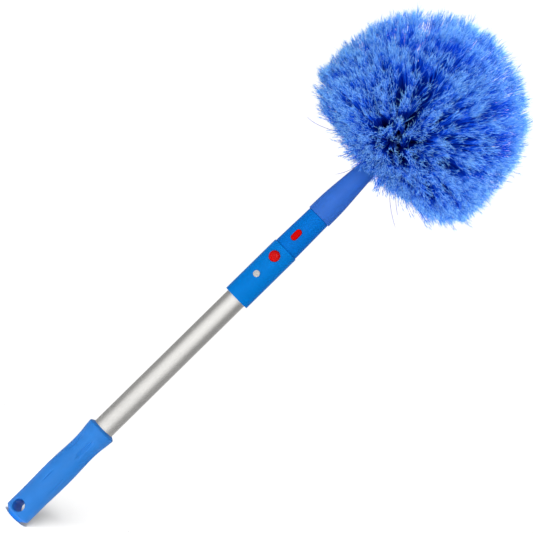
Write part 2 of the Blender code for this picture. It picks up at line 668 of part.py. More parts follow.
def build_lock(handle):
    lock = new_empty("lock_slide", LOCK_Z, handle)
    lock_button_cap(lock)
    lock_stirrup(lock)
    lock_pin(lock)


def build_inner_pole(handle):
    inner_pole = new_empty("inner_pole", COLLAR_TOP, handle)
    inner_tube(inner_pole)
    inner_tube_foot(inner_pole)
    cone_adapter(inner_pole)
    latch_spring_clip(inner_pole)
    latch_button(new_empty("head_latch", LATCH_Z, inner_pole))
    return inner_pole


def build_brush(inner_pole):
    head = new_empty("brush_head", FERRULE_BOTTOM, inner_pole)
    ferrule(head)
    hub_washer(head)
    hub_screw(head)
    bristle_hub(head)
    tufts = new_material("tuft filament", TUFT_BLUE, 0.7)
    crown_tufts(head, tufts)
    for number in range(1, ROW_COUNT):
        tuft_row(number, head, tufts)


clear_scene()
PARTS = new_collection("dome_duster")
CUTTERS = new_collection("cutters")
whole_handle = build_handle()
build_lock(whole_handle)
build_brush(build_inner_pole(whole_handle))
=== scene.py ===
"""Looks of the telescopic dome duster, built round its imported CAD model.

Lengths are in millimetres until a mesh is made; MM turns them into Blender's metres. Names that end in _M are
in metres. Heights are measured up the pole from the butt, and azimuths round it from its front, -Y, to +X.
"""

import math

import bmesh
import bpy
import numpy as np
from mathutils import Matrix, Vector


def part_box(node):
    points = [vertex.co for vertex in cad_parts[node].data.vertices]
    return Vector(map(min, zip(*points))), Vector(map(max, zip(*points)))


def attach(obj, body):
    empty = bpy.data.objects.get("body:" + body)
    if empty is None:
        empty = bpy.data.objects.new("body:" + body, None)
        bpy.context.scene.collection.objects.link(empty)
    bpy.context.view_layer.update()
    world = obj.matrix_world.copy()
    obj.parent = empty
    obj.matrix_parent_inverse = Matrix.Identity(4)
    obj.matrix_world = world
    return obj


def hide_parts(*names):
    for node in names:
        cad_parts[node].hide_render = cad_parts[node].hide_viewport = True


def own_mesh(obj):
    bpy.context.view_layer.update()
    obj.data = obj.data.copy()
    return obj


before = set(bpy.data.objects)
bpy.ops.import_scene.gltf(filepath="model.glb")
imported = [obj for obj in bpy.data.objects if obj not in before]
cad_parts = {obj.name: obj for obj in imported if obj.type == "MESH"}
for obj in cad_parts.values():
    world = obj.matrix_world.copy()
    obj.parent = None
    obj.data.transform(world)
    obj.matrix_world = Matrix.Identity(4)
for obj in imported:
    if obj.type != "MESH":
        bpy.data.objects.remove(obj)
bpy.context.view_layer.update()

MM = 0.001
UP = Vector((0.0, 0.0, 1.0))
OUTWARDS = Matrix.Rotation(math.pi / 2, 4, "X")     # turns a piece's own +Z to the pole's front, -Y
BACKWARDS = Matrix.Rotation(-math.pi / 2, 4, "X")

# Camera: far back, level with a point on the pole, rolled so that the brush is at the upper right
VIEW_AZIMUTH = math.radians(13.0)
VIEW_DISTANCE_M = 2.7
VIEW_CENTRE = (-1.4, 387.0)                         # across the pole and up it
VIEW_WIDTH_M = 0.5795
POLE_SLOPE = math.radians(44.5)                     # the pole's angle above the picture's horizontal
SENSOR_MM = 36.0


# ---------------------------------------------------------------- sizes read from the CAD model

def cad_span(node):
    """(radius, bottom, top) of a node round the pole, in mm."""
    low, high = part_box(node)
    return high.x / MM, low.z / MM, high.z / MM


TUBE_RADIUS, TUBE_BOTTOM, TUBE_TOP = cad_span("outer_tube")
INNER_RADIUS, INNER_BOTTOM, INNER_TOP = cad_span("inner_tube")
COLLAR_RADIUS, COLLAR_BOTTOM, COLLAR_TOP = cad_span("lock_collar")
ADAPTER_RADIUS, ADAPTER_BOTTOM, ADAPTER_TOP = cad_span("cone_adapter")
FERRULE_RADIUS, FERRULE_BOTTOM, FERRULE_TOP = cad_span("ferrule")
GRIP_RADIUS, GRIP_BOTTOM, GRIP_TOP = cad_span("grip_sleeve")
PLUG_RADIUS, _, PLUG_TOP = cad_span("grip_end_plug")
HUB_RADIUS, _, HUB_TOP = cad_span("bristle_hub")
HUB_Z = HUB_TOP - HUB_RADIUS


def node_centre_z(node):
    low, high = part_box(node)
    return (low.z + high.z) / 2 / MM


LOCK_Z = node_centre_z("lock_button_cap")
RIVET_Z = node_centre_z("collar_rivet")
LATCH_Z = node_centre_z("latch_button")
CLEARANCE = 0.3                                     # between pieces that fit into each other
DEEP_CUT = (4.0, 30.0)                              # heights, off the axis, that go right through a wall


# ---------------------------------------------------------------- outlines and meshes

def arc(centre, radius, start_deg, end_deg, steps):
    """Points along an arc in the (radius, z) plane; 0 degrees points outwards and 90 points up."""
    angles = [math.radians(start_deg + (end_deg - start_deg) * step / steps) for step in range(steps + 1)]
    return [(centre[0] + radius * math.cos(a), centre[1] + radius * math.sin(a)) for a in angles]


def smooth_run(stations, per_span=12):
    """A Catmull-Rom curve through the stations, per_span segments between neighbours."""
    ends = [stations[0], *stations, stations[-1]]
    points = []
    for before, start, end, after in zip(ends, ends[1:], ends[2:], ends[3:]):
        for step in range(per_span):
            t = step / per_span
            points.append(tuple(
                0.5 * (2 * b + (c - a) * t + (2 * a - 5 * b + 4 * c - d) * t**2
                       + (3 * b - a - 3 * c + d) * t**3)
                for a, b, c, d in zip(before, start, end, after)))
    return [*points, stations[-1]]


def straight_run(start, end, step):
    """Points from start to end, about step apart, without the end."""
    count = max(1, round(math.dist(start, end) / step))
    return [(start[0] + (end[0] - start[0]) * i / count, start[1] + (end[1] - start[1]) * i / count)
            for i in range(count)]


def add_object(name, mesh):
    ob = bpy.data.objects.new(name, mesh)
    bpy.context.scene.collection.objects.link(ob)
    return ob


def shade(mesh, crease_deg=35.0):
    mesh.shade_smooth()
    mesh.set_sharp_from_angle(angle=math.radians(crease_deg))


def lathe(name, outline, segments=160, solid=False, relief=None):
    """Revolve a (radius, z) outline that runs down its outer side; relief(radii, azimuths, z) reshapes it."""
    around = np.arange(segments) * (2 * math.pi / segments)
    verts, rings = [], []
    for radius, z in outline:
        if radius < 1e-6:
            rings.append([len(verts)] * segments)
            verts.append((0.0, 0.0, z * MM))
            continue
        radii = np.full(segments, radius) if relief is None else relief(np.full(segments, radius), around, z)
        rings.append(list(range(len(verts), len(verts) + segments)))
        across, back = radii * np.sin(around) * MM, -radii * np.cos(around) * MM
        verts.extend(zip(across, back, np.full(segments, z) * MM))
    pairs = list(zip(rings, rings[1:]))
    if not solid:
        pairs.append((rings[-1], rings[0]))
    faces = []
    for upper, lower in pairs:
        for i in range(segments):
            j = (i + 1) % segments
            corners = [upper[i], lower[i], lower[j], upper[j]]
            corners = [c for n, c in enumerate(corners) if c != corners[n - 1]]
            if len(corners) > 2:
                faces.append(corners)
    mesh = bpy.data.meshes.new(name)
    mesh.from_pydata([tuple(v) for v in verts], [], faces)
    shade(mesh)
    return add_object(name, mesh)


def stadium(length, width, inset, steps=16):
    """A slot outline with round ends, its long side along Y, drawn in by inset."""
    half, radius = (length - width) / 2, width / 2 - inset
    turns = [(half, math.pi * i / steps) for i in range(steps + 1)]
    turns += [(-half, math.pi * (1 + i / steps)) for i in range(steps + 1)]
    return [(radius * math.cos(a), middle + radius * math.sin(a)) for middle, a in turns]


def stadium_loft(name, length, width, levels):
    """A slot-shaped solid through (inset, height) levels, bottom to top, capped at both ends."""
    shape = bmesh.new()
    rings = [[shape.verts.new((x * MM, y * MM, height * MM)) for x, y in stadium(length, width, inset)]
             for inset, height in levels]
    for lower, upper in zip(rings, rings[1:]):
        for i in range(len(lower)):
            j = (i + 1) % len(lower)
            shape.faces.new((lower[i], lower[j], upper[j], upper[i]))
    shape.faces.new(reversed(rings[0]))
    shape.faces.new(rings[-1])
    mesh = bpy.data.meshes.new(name)
    shape.to_mesh(mesh)
    shape.free()
    shade(mesh)
    return add_object(name, mesh)


def turn_to(ob, z, turn=OUTWARDS):
    """Set a piece that was built along its own +Z across the pole, at height z."""
    ob.data.transform(Matrix.Translation((0.0, 0.0, z * MM)) @ turn)
    return ob


def combine(ob, operation, others):
    """Boolean ob with closed pieces, for good; the others are used up."""
    for other in others:
        boolean = ob.modifiers.new("Boolean", "BOOLEAN")
        boolean.operation = operation
        boolean.solver = "EXACT"
        boolean.object = other
    combined = bpy.data.meshes.new_from_object(ob.evaluated_get(bpy.context.evaluated_depsgraph_get()))
    ob.modifiers.clear()
    old, ob.data = ob.data, combined
    combined.name = old.name
    bpy.data.meshes.remove(old)
    shade(ob.data)
    for other in others:
        bpy.data.objects.remove(other)


def carve(ob, *cutters):
    """Cut the cutters out of ob."""
    combine(ob, "DIFFERENCE", cutters)


def join(ob, other):
    """Make ob the union of the two."""
    combine(ob, "UNION", [other])


def bore(radius, z, low, high, turn=OUTWARDS):
    """A round cutter across the pole, from low to high off the axis."""
    outline = [(0.0, high), (radius, high), (radius, low), (0.0, low)]
    return turn_to(lathe("cutter", outline, 64, solid=True), z, turn)


def slot_cutter(length, width, z):
    """A slot-shaped cutter across the pole's front wall."""
    low, high = DEEP_CUT
    return turn_to(stadium_loft("cutter", length, width, [(0.0, low), (0.0, high)]), z)


def finish_piece(ob, material, body, slot, *nodes):
    """Give a piece its material and its body, and let it stand for its CAD nodes."""
    ob.data.materials.clear()
    ob.data.materials.append(material)
    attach(ob, body)
    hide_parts(*nodes)
    return ob


# ---------------------------------------------------------------- materials

def new_material(name, roughness, metallic=0.0, specular=0.5):
    material = bpy.data.materials.new(name)
    material.use_nodes = True
    shader = material.node_tree.nodes["Principled BSDF"]
    shader.inputs["Roughness"].default_value = roughness
    shader.inputs["Metallic"].default_value = metallic
    shader.inputs["Specular IOR Level"].default_value = specular
    return material


class Nodes:
    """Short names for the nodes that the materials share."""

    def __init__(self, material):
        self.tree = material.node_tree
        self.shader = self.tree.nodes["Principled BSDF"]

    def add(self, kind, **values):
        node = self.tree.nodes.new("ShaderNode" + kind)
        for name, value in values.items():
            if name in node.bl_rna.properties:
                setattr(node, name, value)
            else:
                node.inputs[name.replace("_", " ")].default_value = value
        return node

    def link(self, source, target):
        self.tree.links.new(source, target)

    def place(self, stretch=(1.0, 1.0, 1.0)):
        """Object coordinates in mm, stretched along the axes."""
        coordinates = self.add("TexCoord")
        mapping = self.add("Mapping")
        mapping.inputs["Scale"].default_value = [s / MM for s in stretch]
        self.link(coordinates.outputs["Object"], mapping.inputs["Vector"])
        return mapping.outputs["Vector"]

    def noise(self, vector, scale, detail=3.0, roughness=0.55):
        node = self.add("TexNoise", Scale=scale, Detail=detail, Roughness=roughness)
        self.link(vector, node.inputs["Vector"])
        return node.outputs["Fac"]

    def ramp(self, source, stops):
        node = self.add("ValToRGB")
        elements = node.color_ramp.elements
        while len(elements) < len(stops):
            elements.new(0.5)
        for element, (position, colour) in zip(elements, stops):
            element.position = position
            element.color = (*colour, 1.0)
        self.link(source, node.inputs["Fac"])
        return node.outputs["Color"]

    def span(self, source, low, high, from_low=0.3, from_high=0.7):
        node = self.add("MapRange")
        limits = {"From Min": from_low, "From Max": from_high, "To Min": low, "To Max": high}
        for name, value in limits.items():
            node.inputs[name].default_value = value
        self.link(source, node.inputs["Value"])
        return node.outputs["Result"]

    def bump(self, source, depth_mm):
        node = self.add("Bump", Strength=1.0, Distance=depth_mm * MM)
        self.link(source, node.inputs["Height"])
        return node.outputs["Normal"]


def tint(colour, factor):
    return tuple(min(1.0, c * factor) for c in colour)


def moulded_plastic(name, colour, roughness, grain_mm=0.25, grain_depth=0.005, mottle=0.05, specular=0.1):
    """Moulded plastic: a faint flow mottle in its colour, and a fine spark-eroded grain."""
    material = new_material(name, roughness, specular=specular)
    n = Nodes(material)
    flow = n.noise(n.place((1.0, 1.0, 0.35)), 0.09, 4.0)
    grain = n.noise(n.place(), 1.0 / grain_mm, 2.0)
    n.link(n.ramp(flow, [(0.3, tint(colour, 1 - mottle)), (0.7, tint(colour, 1 + mottle))]),
           n.shader.inputs["Base Color"])
    n.link(n.span(grain, roughness - 0.05, roughness + 0.06), n.shader.inputs["Roughness"])
    n.link(n.bump(grain, grain_depth), n.shader.inputs["Normal"])
    return material


def drawn_aluminium(name, colour, roughness):
    """Drawn tube: lines along its length in the roughness and in the relief, over a satin sheen."""
    material = new_material(name, roughness, metallic=1.0)
    n = Nodes(material)
    lines = n.noise(n.place((1.0, 1.0, 0.012)), 3.2, 5.0, 0.7)
    cloud = n.noise(n.place((1.0, 1.0, 0.3)), 0.08, 3.0)
    n.link(n.ramp(cloud, [(0.3, tint(colour, 0.965)), (0.7, tint(colour, 1.03))]),
           n.shader.inputs["Base Color"])
    n.link(n.span(lines, roughness - 0.06, roughness + 0.08), n.shader.inputs["Roughness"])
    n.link(n.bump(lines, 0.004), n.shader.inputs["Normal"])
    return material


def sheet_steel(name, colour=(0.62, 0.62, 0.63), roughness=0.3):
    material = new_material(name, roughness, metallic=1.0)
    n = Nodes(material)
    lines = n.noise(n.place((4.0, 4.0, 0.3)), 1.2, 3.0)
    n.link(n.ramp(lines, [(0.3, tint(colour, 0.9)), (0.7, colour)]), n.shader.inputs["Base Color"])
    n.link(n.span(lines, roughness - 0.08, roughness + 0.1), n.shader.inputs["Roughness"])
    return material


BRISTLE_UV = "OFBake"
ROOT_SHADE_TO_TIP_LIGHT = (              # (share of the length, colour) of a filament: painted shade deep in the brush at the root, to painted light at the tip, where the frosted flag ends are also really paler
    (0.0, (0.0, 0.003, 0.10)), (0.45, (0.0, 0.018, 0.34)), (0.7, (0.001, 0.05, 0.62)),
    (0.86, (0.012, 0.12, 0.90)), (0.93, (0.09, 0.36, 1.0)), (1.0, (0.47, 0.87, 1.0)),
)
CLUMP_TINTS = ((0.3, (0.30, 0.36, 0.60)), (0.5, (0.75, 0.80, 0.92)), (0.7, (1.0, 1.0, 1.0)))


def filament_material():
    """Bristle filament, its colour painted from shade at the root to light at the tip. The UV map's V runs
    from root to tip, and its U is the tint of its clump.
    """
    material = new_material("bristle filament", 0.6, specular=0.0)
    n = Nodes(material)
    place = n.add("UVMap", uv_map=BRISTLE_UV)
    parts = n.add("SeparateXYZ")
    n.link(place.outputs["UV"], parts.inputs["Vector"])
    # painted shade towards the roots and painted light towards the tips, along V
    along = n.ramp(parts.outputs["Y"], ROOT_SHADE_TO_TIP_LIGHT)
    across = n.add("CombineXYZ")
    n.link(parts.outputs["X"], across.inputs["X"])
    tints = n.noise(across.outputs["Vector"], 29.0, 1.0)
    by_clump = n.add("Mix", data_type="RGBA", blend_type="MULTIPLY")
    by_clump.inputs["Factor"].default_value = 1.0
    n.link(along, by_clump.inputs[6])
    n.link(n.ramp(tints, CLUMP_TINTS), by_clump.inputs[7])
    n.link(by_clump.outputs[2], n.shader.inputs["Base Color"])
    return material


# ---------------------------------------------------------------- grip

GRIP_BLUE = (0.003, 0.205, 0.70)
COLLAR_BLUE = (0.0, 0.205, 0.69)
ADAPTER_BLUE = (0.0, 0.178, 0.67)
FERRULE_BLUE = (0.031, 0.165, 0.66)
RED = (0.65, 0.0, 0.0)
TUBE_GREY = (0.82, 0.81, 0.785)
WHITE = (0.57, 0.57, 0.56)
ACETAL = (0.80, 0.80, 0.77)
HUB_BLUE = (0.01, 0.05, 0.35)

GRIP_END_RADIUS = 15.5
GRIP_RIM_Z = 133.6
GRIP_WAIST = ((16.3, 125.0), (15.2, 116.0), (14.8, 103.0), (15.75, 81.0), (16.15, 64.0), (15.5, 36.0))
GRIP_CORNER_Z = 7.2
HANG_HOLE_Z = 14.8
HANG_HOLE_AZIMUTH = math.radians(-9.5)
HANG_HOLE_RADIUS = 7.0
LIP_ROUND = 1.3
FLUTES = (                   # (azimuth in degrees, lowest z, highest z, depth) in one set round the grip
    (15.0, 94.0, 120.0, 0.8), (21.0, 92.0, 122.0, 1.0), (27.0, 94.0, 120.0, 0.8), (49.0, 50.0, 70.0, 0.8),
)
FLUTE_SETS = 6
FLUTE_WIDTH = 0.7
FLUTE_FADE = 5.0             # length over which a flute runs out at each end


def round_lip(radii, azimuths, z, hole_radius):
    """Draw the surface in towards the edge of the hang hole, so that its mouth is rounded."""
    across = radii * np.sin(azimuths - HANG_HOLE_AZIMUTH)
    away = np.hypot(across, z - HANG_HOLE_Z) - hole_radius
    share = np.clip(1 - away / LIP_ROUND, 0.0, 1.0)
    return radii - LIP_ROUND * 0.7 * (1 - np.sqrt(1 - np.minimum(share, 0.98) ** 2))


def grip_relief(radii, azimuths, z):
    """Long shallow flutes in sets round the grip, and the rounded mouths of the hang hole."""
    if radii[0] < TUBE_RADIUS + 1.5:
        return radii
    radii = round_lip(radii, azimuths, z, HANG_HOLE_RADIUS + CLEARANCE)
    for azimuth, low, high, depth in FLUTES:
        ends = min(1.0, max(0.0, (z - low) / FLUTE_FADE)) * min(1.0, max(0.0, (high - z) / FLUTE_FADE))
        if ends <= 0:
            continue
        turn = 2 * math.pi / FLUTE_SETS
        offset = (azimuths - math.radians(azimuth) + turn / 2) % turn - turn / 2
        radii = radii - depth * ends * np.exp(-(offset * radii / FLUTE_WIDTH) ** 2)
    return radii


def hang_hole(radius):
    """A cutter for the hang hole, which goes right through the butt."""
    reach = 22.0
    return bore(radius, HANG_HOLE_Z, -reach, reach, Matrix.Rotation(HANG_HOLE_AZIMUTH, 4, "Z") @ OUTWARDS)


def build_grip():
    inner = TUBE_RADIUS + CLEARANCE
    rim = arc((GRIP_RADIUS - 2.0, GRIP_RIM_Z), 2.0, 65, 0, 10)
    corner = arc((GRIP_END_RADIUS - 1.8, GRIP_CORNER_Z), 1.8, 0, -70, 8)
    waist = smooth_run([rim[-1], *GRIP_WAIST], 16)
    above_hole = (GRIP_END_RADIUS, 24.0)
    foot = straight_run(waist[-1], above_hole, 1.2) + straight_run(above_hole, corner[0], 0.45)
    outline = [(inner, GRIP_TOP), *straight_run((inner + 0.4, GRIP_TOP), rim[0], 0.5), *rim[:-1],
               *waist[:-1], *foot, *corner, (inner + 0.3, GRIP_BOTTOM + 0.15), (inner, GRIP_BOTTOM + 0.4)]
    grip = lathe("grip", outline, 224, relief=grip_relief)
    carve(grip, hang_hole(HANG_HOLE_RADIUS + CLEARANCE))
    finish_piece(grip, grip_rubber(), "handle", "grip_rubber", "grip_sleeve")


def grip_rubber():
    """Soft moulded rubber: a slow blotch in its colour and a fine matt skin."""
    material = new_material("soft grip rubber", 0.46, specular=0.5)
    n = Nodes(material)
    blotch = n.noise(n.place((1.0, 1.0, 0.5)), 0.06, 4.0)
    skin = n.noise(n.place(), 3.4, 3.0)
    n.link(n.ramp(blotch, [(0.3, tint(GRIP_BLUE, 0.93)), (0.7, tint(GRIP_BLUE, 1.06))]),
           n.shader.inputs["Base Color"])
    n.link(n.span(skin, 0.40, 0.54), n.shader.inputs["Roughness"])
    n.link(n.bump(skin, 0.015), n.shader.inputs["Normal"])
    return material


def build_end_plug():
    spigot = TUBE_RADIUS - 1.5
    dome = arc((5.0, 7.6), 7.6, -38, -90, 24)
    outline = [(0.0, 24.5), (spigot - 2.5, 24.5), (spigot - 2.5, PLUG_TOP), (spigot - 0.8, PLUG_TOP),
               (spigot, PLUG_TOP - 1.0), (spigot, 25.7), (PLUG_RADIUS, 25.7),
               *straight_run((PLUG_RADIUS, 24.0), (PLUG_RADIUS, GRIP_BOTTOM + 0.8), 0.6),
               *arc((PLUG_RADIUS - 0.5, GRIP_BOTTOM + 0.3), 0.5, 0, -80, 4), *dome, (2.5, 0.0), (0.0, 0.0)]
    plug = lathe("end_plug", outline, 160, solid=True)
    carve(plug, hang_hole(HANG_HOLE_RADIUS))
    plastic = moulded_plastic("end plug plastic", tint(GRIP_BLUE, 0.98), 0.42)
    finish_piece(plug, plastic, "handle", "plug_plastic", "grip_end_plug")


# ---------------------------------------------------------------- pole

def tube_outline(radius, wall, bottom, top, edge=0.2):
    """A tube's wall with softened ends, its outer side in short steps."""
    inner = radius - wall
    return [(inner, top), (radius - edge, top),
            *straight_run((radius, top - edge), (radius, bottom + edge), 4.0), (radius, bottom + edge),
            (radius - edge, bottom), (inner, bottom)]


RIVET_HOLE_RADIUS = 2.3
LOCK_HOLE_RADIUS = 2.8
LOCK_HOLE_PITCH = 70.0
LOCK_HOLE_COUNT = 5


def build_tubes():
    outer = lathe("outer_pole", tube_outline(TUBE_RADIUS, 1.2, TUBE_BOTTOM, TUBE_TOP), 128)
    carve(outer, bore(RIVET_HOLE_RADIUS, RIVET_Z, 6.0, 30.0))
    finish_piece(outer, drawn_aluminium("outer tube aluminium", TUBE_GREY, 0.34), "handle", "tube_aluminium",
                 "outer_tube")
    inner = lathe("inner_pole_tube", tube_outline(INNER_RADIUS, 1.0, INNER_BOTTOM, INNER_TOP), 128)
    holes = [bore(LOCK_HOLE_RADIUS, LOCK_Z - LOCK_HOLE_PITCH * number, *DEEP_CUT, BACKWARDS)
             for number in range(LOCK_HOLE_COUNT)]
    carve(inner, *holes, slot_cutter(14.7, 7.7, LATCH_Z))
    finish_piece(inner, drawn_aluminium("inner tube aluminium", tint(TUBE_GREY, 1.04), 0.28), "inner_pole",
                 "tube_aluminium", "inner_tube")


# ---------------------------------------------------------------- collar

CHAMBER_RADIUS = COLLAR_RADIUS - 1.05
CHAMBER_FLOOR = 389.5
COLLAR_SHELF = 388.3         # height of the shelf's underside, where the outer tube ends
SHELF_BORE = 11.0


def build_collar():
    socket = TUBE_RADIUS + CLEARANCE
    top_edge = arc((COLLAR_RADIUS - 0.5, COLLAR_TOP - 0.5), 0.5, 90, 0, 5)
    low_edge = arc((COLLAR_RADIUS - 0.6, COLLAR_BOTTOM + 0.6), 0.6, 0, -90, 5)
    outline = [(CHAMBER_RADIUS, COLLAR_TOP), *top_edge,
               *straight_run((COLLAR_RADIUS, COLLAR_TOP - 0.8), low_edge[0], 0.7), *low_edge,
               (socket + 0.3, COLLAR_BOTTOM), (socket, COLLAR_BOTTOM + 0.3), (socket, COLLAR_SHELF),
               (SHELF_BORE, COLLAR_SHELF), (SHELF_BORE, CHAMBER_FLOOR), (CHAMBER_RADIUS, CHAMBER_FLOOR)]
    collar = lathe("collar", outline, 224)
    mouth = [(0.0, 30.0), (9.0, 30.0), (7.5, 16.4), (6.62, 15.4), (6.62, 6.0), (0.0, 6.0)]
    button_hole = turn_to(lathe("cutter", mouth, 96, solid=True), LOCK_Z)
    rivet_seat = bore(4.05, RIVET_Z, 15.0, 30.0)
    carve(collar, button_hole, bore(RIVET_HOLE_RADIUS, RIVET_Z, 6.0, 30.0), rivet_seat)
    plastic = moulded_plastic("collar plastic", COLLAR_BLUE, 0.3, mottle=0.03, specular=0.05)
    finish_piece(collar, plastic, "handle", "collar_plastic", "lock_collar")
    build_cap_ring(plastic)


def build_cap_ring(plastic):
    top, inner, outer = COLLAR_TOP - 0.2, INNER_RADIUS + CLEARANCE, CHAMBER_RADIUS - CLEARANCE
    bottom = top - 3.5
    ring = [(inner, top - 0.3), (inner + 0.3, top), (outer - 0.3, top), (outer, top - 0.3), (outer, bottom),
            (inner, bottom)]
    finish_piece(lathe("cap_ring", ring, 128), plastic, "handle", "collar_plastic", "collar_cap_ring")


def build_rivet():
    """A push rivet with a dimple in its round head. Radii are from its own axis, heights from the pole's."""
    head = [(3.75 * math.sin(a), 15.8 + 0.7 * math.cos(a)) for a in np.radians(np.arange(22, 91, 6))]
    rivet = [(0.0, 16.15), (0.55, 16.17), (0.9, 16.3), (1.15, 16.42), *head, (3.7, 15.35), (3.6, 15.3),
             (2.0, 15.3), (2.0, 11.6), (0.0, 11.6)]
    plastic = moulded_plastic("rivet plastic", WHITE, 0.32, mottle=0.02)
    finish_piece(turn_to(lathe("rivet", rivet, 64, solid=True), RIVET_Z), plastic, "handle", "rivet_plastic",
                 "collar_rivet")


def build_push_button():
    """A round key with a domed end; radii are from its own axis, heights from the pole's."""
    dome = [(6.25 * math.sin(a) ** 0.8, 15.2 + 2.8 * math.cos(a)) for a in np.radians(np.arange(4, 91, 4))]
    cap = [(0.0, 18.0), *dome, (6.25, 14.85), (6.1, 14.75), (0.0, 14.75)]
    plastic = moulded_plastic("red button plastic", RED, 0.12, mottle=0.03, grain_depth=0.001, specular=0.14)
    button = turn_to(lathe("push_button", cap, 96, solid=True), LOCK_Z)
    finish_piece(button, plastic, "lock_slide", "red_plastic", "lock_button_cap")


# ---------------------------------------------------------------- adapter

RIB_COUNT = 21
RIB_HEIGHT = 0.3
RIB_BOTTOM, RIB_TOP = 443.0, 464.5
RIB_FADES = (2.0, 0.8)       # lengths over which the ribs run out, at the bottom and at the top
ADAPTER_UPPER_RADIUS = 13.7
CONE_FOOT_RADIUS = 12.7      # the male cone's radius where the ferrule begins
CONE_TAPER = 0.064           # loss of radius per mm of height, on the cone and in the ferrule
CONE_EDGE = 0.8
LATCH_SLOT = (14.8, 7.8)     # the adapter's slot for the snap button: length and width


def adapter_relief(radii, azimuths, z):
    """Fine ribs along the upper part of the adapter's grip zone."""
    if radii[0] < CONE_FOOT_RADIUS + CLEARANCE or not RIB_BOTTOM < z < RIB_TOP:
        return radii
    ends = min(1.0, (z - RIB_BOTTOM) / RIB_FADES[0], (RIB_TOP - z) / RIB_FADES[1])
    return radii - RIB_HEIGHT * ends * (0.5 - 0.5 * np.cos(azimuths * RIB_COUNT))


def cone_radius(z):
    return CONE_FOOT_RADIUS - CONE_TAPER * (z - FERRULE_BOTTOM)


def build_adapter():
    inner, stop, shoulder = INNER_RADIUS + CLEARANCE, INNER_TOP + 0.5, FERRULE_BOTTOM - CLEARANCE
    tip_radius = cone_radius(ADAPTER_TOP)
    below_tip = ADAPTER_TOP - 1.2
    skirt = COLLAR_TOP + 0.1
    lip = skirt - 0.25       # an inner lip hides the bright inner tube in the gap above the collar
    outline = [
        (tip_radius - 3.0, ADAPTER_TOP),
        *arc((tip_radius - CONE_EDGE, ADAPTER_TOP - CONE_EDGE), CONE_EDGE, 90, 5, 5),
        *straight_run((cone_radius(below_tip), below_tip), (cone_radius(shoulder), shoulder), 2.0),
        (cone_radius(shoulder), shoulder), (ADAPTER_UPPER_RADIUS - 0.3, shoulder),
        *straight_run((ADAPTER_UPPER_RADIUS, shoulder - 0.4), (ADAPTER_RADIUS, ADAPTER_BOTTOM + 2.0), 0.6),
        (ADAPTER_RADIUS, ADAPTER_BOTTOM + 2.0), *arc((ADAPTER_RADIUS - 0.3, skirt + 0.3), 0.3, 0, -90, 4),
        (13.6, skirt), (13.5, lip), (inner, lip), (inner, stop), (inner - 1.5, stop),
    ]
    adapter = lathe("adapter", outline, RIB_COUNT * 12, relief=adapter_relief)
    carve(adapter, slot_cutter(*LATCH_SLOT, LATCH_Z))
    plastic = moulded_plastic("adapter plastic", ADAPTER_BLUE, 0.34, mottle=0.03, specular=0.05)
    finish_piece(adapter, plastic, "inner_pole", "adapter_plastic", "cone_adapter")


def build_snap_button():
    """The oblong key, with its flange inside the tube; each level is (inset, height off the pole's axis)."""
    levels = [(0.0, 8.0), (0.0, 13.6), (0.0, 14.2), (0.08, 14.5), (0.25, 14.78), (0.5, 14.96), (0.9, 15.06),
              (1.5, 15.1)]
    key = stadium_loft("snap_button", 14.0, 7.0, levels)
    join(key, stadium_loft("snap_flange", 16.0, 9.0, [(0.0, 7.05), (0.0, 8.02)]))
    plastic = moulded_plastic("red snap plastic", tint(RED, 1.05), 0.28, mottle=0.03, grain_depth=0.002,
                              specular=0.05)
    finish_piece(turn_to(key, LATCH_Z), plastic, "head_latch", "red_plastic", "latch_button")


# ---------------------------------------------------------------- brush

FERRULE_SIDE = ((14.95, FERRULE_BOTTOM), (14.8, 480.0), (14.2, 494.0), (11.7, 525.0), (9.3, 560.0))
FERRULE_WEB_Z = 522.5
SOCKET_MOUTH_RADIUS = 13.0
SCREW_HOLE_RADIUS = 2.3


def build_ferrule():
    socket_top = SOCKET_MOUTH_RADIUS - CONE_TAPER * (FERRULE_WEB_Z - FERRULE_BOTTOM)
    side = smooth_run(FERRULE_SIDE, 12)
    side.reverse()
    outline = [(SCREW_HOLE_RADIUS, FERRULE_TOP), *side[:-1], (FERRULE_RADIUS, FERRULE_BOTTOM + 0.4),
               (FERRULE_RADIUS - 0.15, FERRULE_BOTTOM + 0.1), (FERRULE_RADIUS - 0.4, FERRULE_BOTTOM),
               (SOCKET_MOUTH_RADIUS + 0.2, FERRULE_BOTTOM), (SOCKET_MOUTH_RADIUS, FERRULE_BOTTOM + 0.3),
               (socket_top, FERRULE_WEB_Z), (SCREW_HOLE_RADIUS, FERRULE_WEB_Z)]
    plastic = moulded_plastic("ferrule plastic", FERRULE_BLUE, 0.5, grain_mm=0.35, grain_depth=0.008,
                              specular=0.25)
    finish_piece(lathe("ferrule_shell", outline, 160), plastic, "brush_head", "ferrule_plastic", "ferrule")


BRUSH_LIGHTS = (             # (name, azimuth and elevation in degrees, power) of the brush's own softboxes
    ("brush front", 10.0, -6.0, 12.0), ("brush top", 193.0, 55.0, 26.0), ("brush side", 118.0, -5.0, 12.0),
)
RANDOM = np.random.default_rng(20)
TRIM_RADIUS = 115.5
DOME_CENTRE_Z = 623.0
BACK_PROFILE = (             # (radius, z) of the trimmed back, from the side in to the ferrule
    (115.0, 577.0), (103.0, 560.5), (88.0, 552.0), (64.0, 549.0), (40.0, 547.0), (14.0, 544.0),
)
LOPSIDED = 0.015             # share that the brush is longer at its lower right, and shorter across from it
ROW_PITCH = 22.5             # degrees on the hub between rows of tufts
RING_OFFSET = 5.6            # degrees from a row's middle to each of its two rings of holes
CROWN_RING = 0.5             # degrees, of the small ring at the hub's pole
LAST_RING = 151.0            # degrees, of a further ring at the ferrule
ROW_COUNT = 7
TUFT_SPACING = 5.2
STEEPEST_TIP = math.radians(160)
CLUMPS_PER_TUFT = 7
FILAMENTS_PER_CLUMP = 12
FLAGS_PER_FILAMENT = 4
BACK_START = 95.0            # degrees from +Z where the back begins to be more ragged than the dome
BACK_DEPTH = 60.0            # degrees over which it becomes fully so
